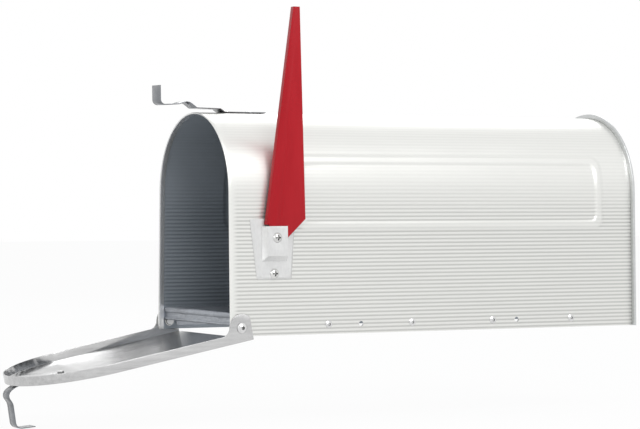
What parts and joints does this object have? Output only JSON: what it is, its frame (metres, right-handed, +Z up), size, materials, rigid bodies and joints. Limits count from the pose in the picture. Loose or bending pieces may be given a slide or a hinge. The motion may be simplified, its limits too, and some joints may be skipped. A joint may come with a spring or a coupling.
{
  "type": "rural mailbox",
  "caption": "Arched ribbed sheet-metal mailbox with a drop-down riveted door, spring latch, floor panel and raised red signal flag",
  "frame": {"origin": "centre of the floor's underside, the face that the mounting board seats against", "axes": "+Z up; +Y from the mouth and door towards the rear panel; +X across towards the flag side"},
  "size_m": [0.1809, 0.6715, 0.4061],
  "materials": {
    "ribbed_aluminium": "fine ribbed mill finish",
    "rear_aluminium": "mill finish",
    "door_aluminium": "bright mill finish",
    "galvanised_sheet": "galvanised",
    "spring_strip": "satin",
    "rivet_metal": "satin",
    "bracket_metal": "bright satin",
    "red_paint": "gloss",
    "zinc_fastener": "zinc plated"
  },
  "bodies": {
    "mailbox": {"shell": "ribbed_aluminium", "rear_panel": "rear_aluminium", "floor_panel": "galvanised_sheet", "floor_rivets_right": "rivet_metal", "floor_rivets_left": "rivet_metal", "roof_catch": "spring_strip", "roof_catch_rivets": "rivet_metal", "hinge_rivet_right": "rivet_metal", "hinge_rivet_left": "rivet_metal", "hinge_washer_right": "zinc_fastener", "hinge_washer_left": "zinc_fastener", "flag_bracket": "bracket_metal", "flag_pivot_screw": "zinc_fastener", "flag_bush": "zinc_fastener", "flag_spring_washer": "zinc_fastener", "bracket_screw": "zinc_fastener", "bracket_washers": "zinc_fastener", "bracket_nuts": "zinc_fastener"},
    "door": {"door_panel": "door_aluminium", "door_latch": "spring_strip", "door_latch_rivets": "rivet_metal"},
    "flag": {"flag": "red_paint"}
  },
  "joints": [
    {"name": "door_hinge", "type": "hinge", "parent": "mailbox", "child": "door", "pos_m": [0, -0.2234, -0.0134], "axis": [1, 0, 0], "range_deg": [-101, 0]},
    {"name": "flag_pivot", "type": "hinge", "parent": "mailbox", "child": "flag", "pos_m": [0.08875, -0.1882, 0.07335], "axis": [0.9998, 0, 0.0216], "range_deg": [-73, 0]}
  ]
}
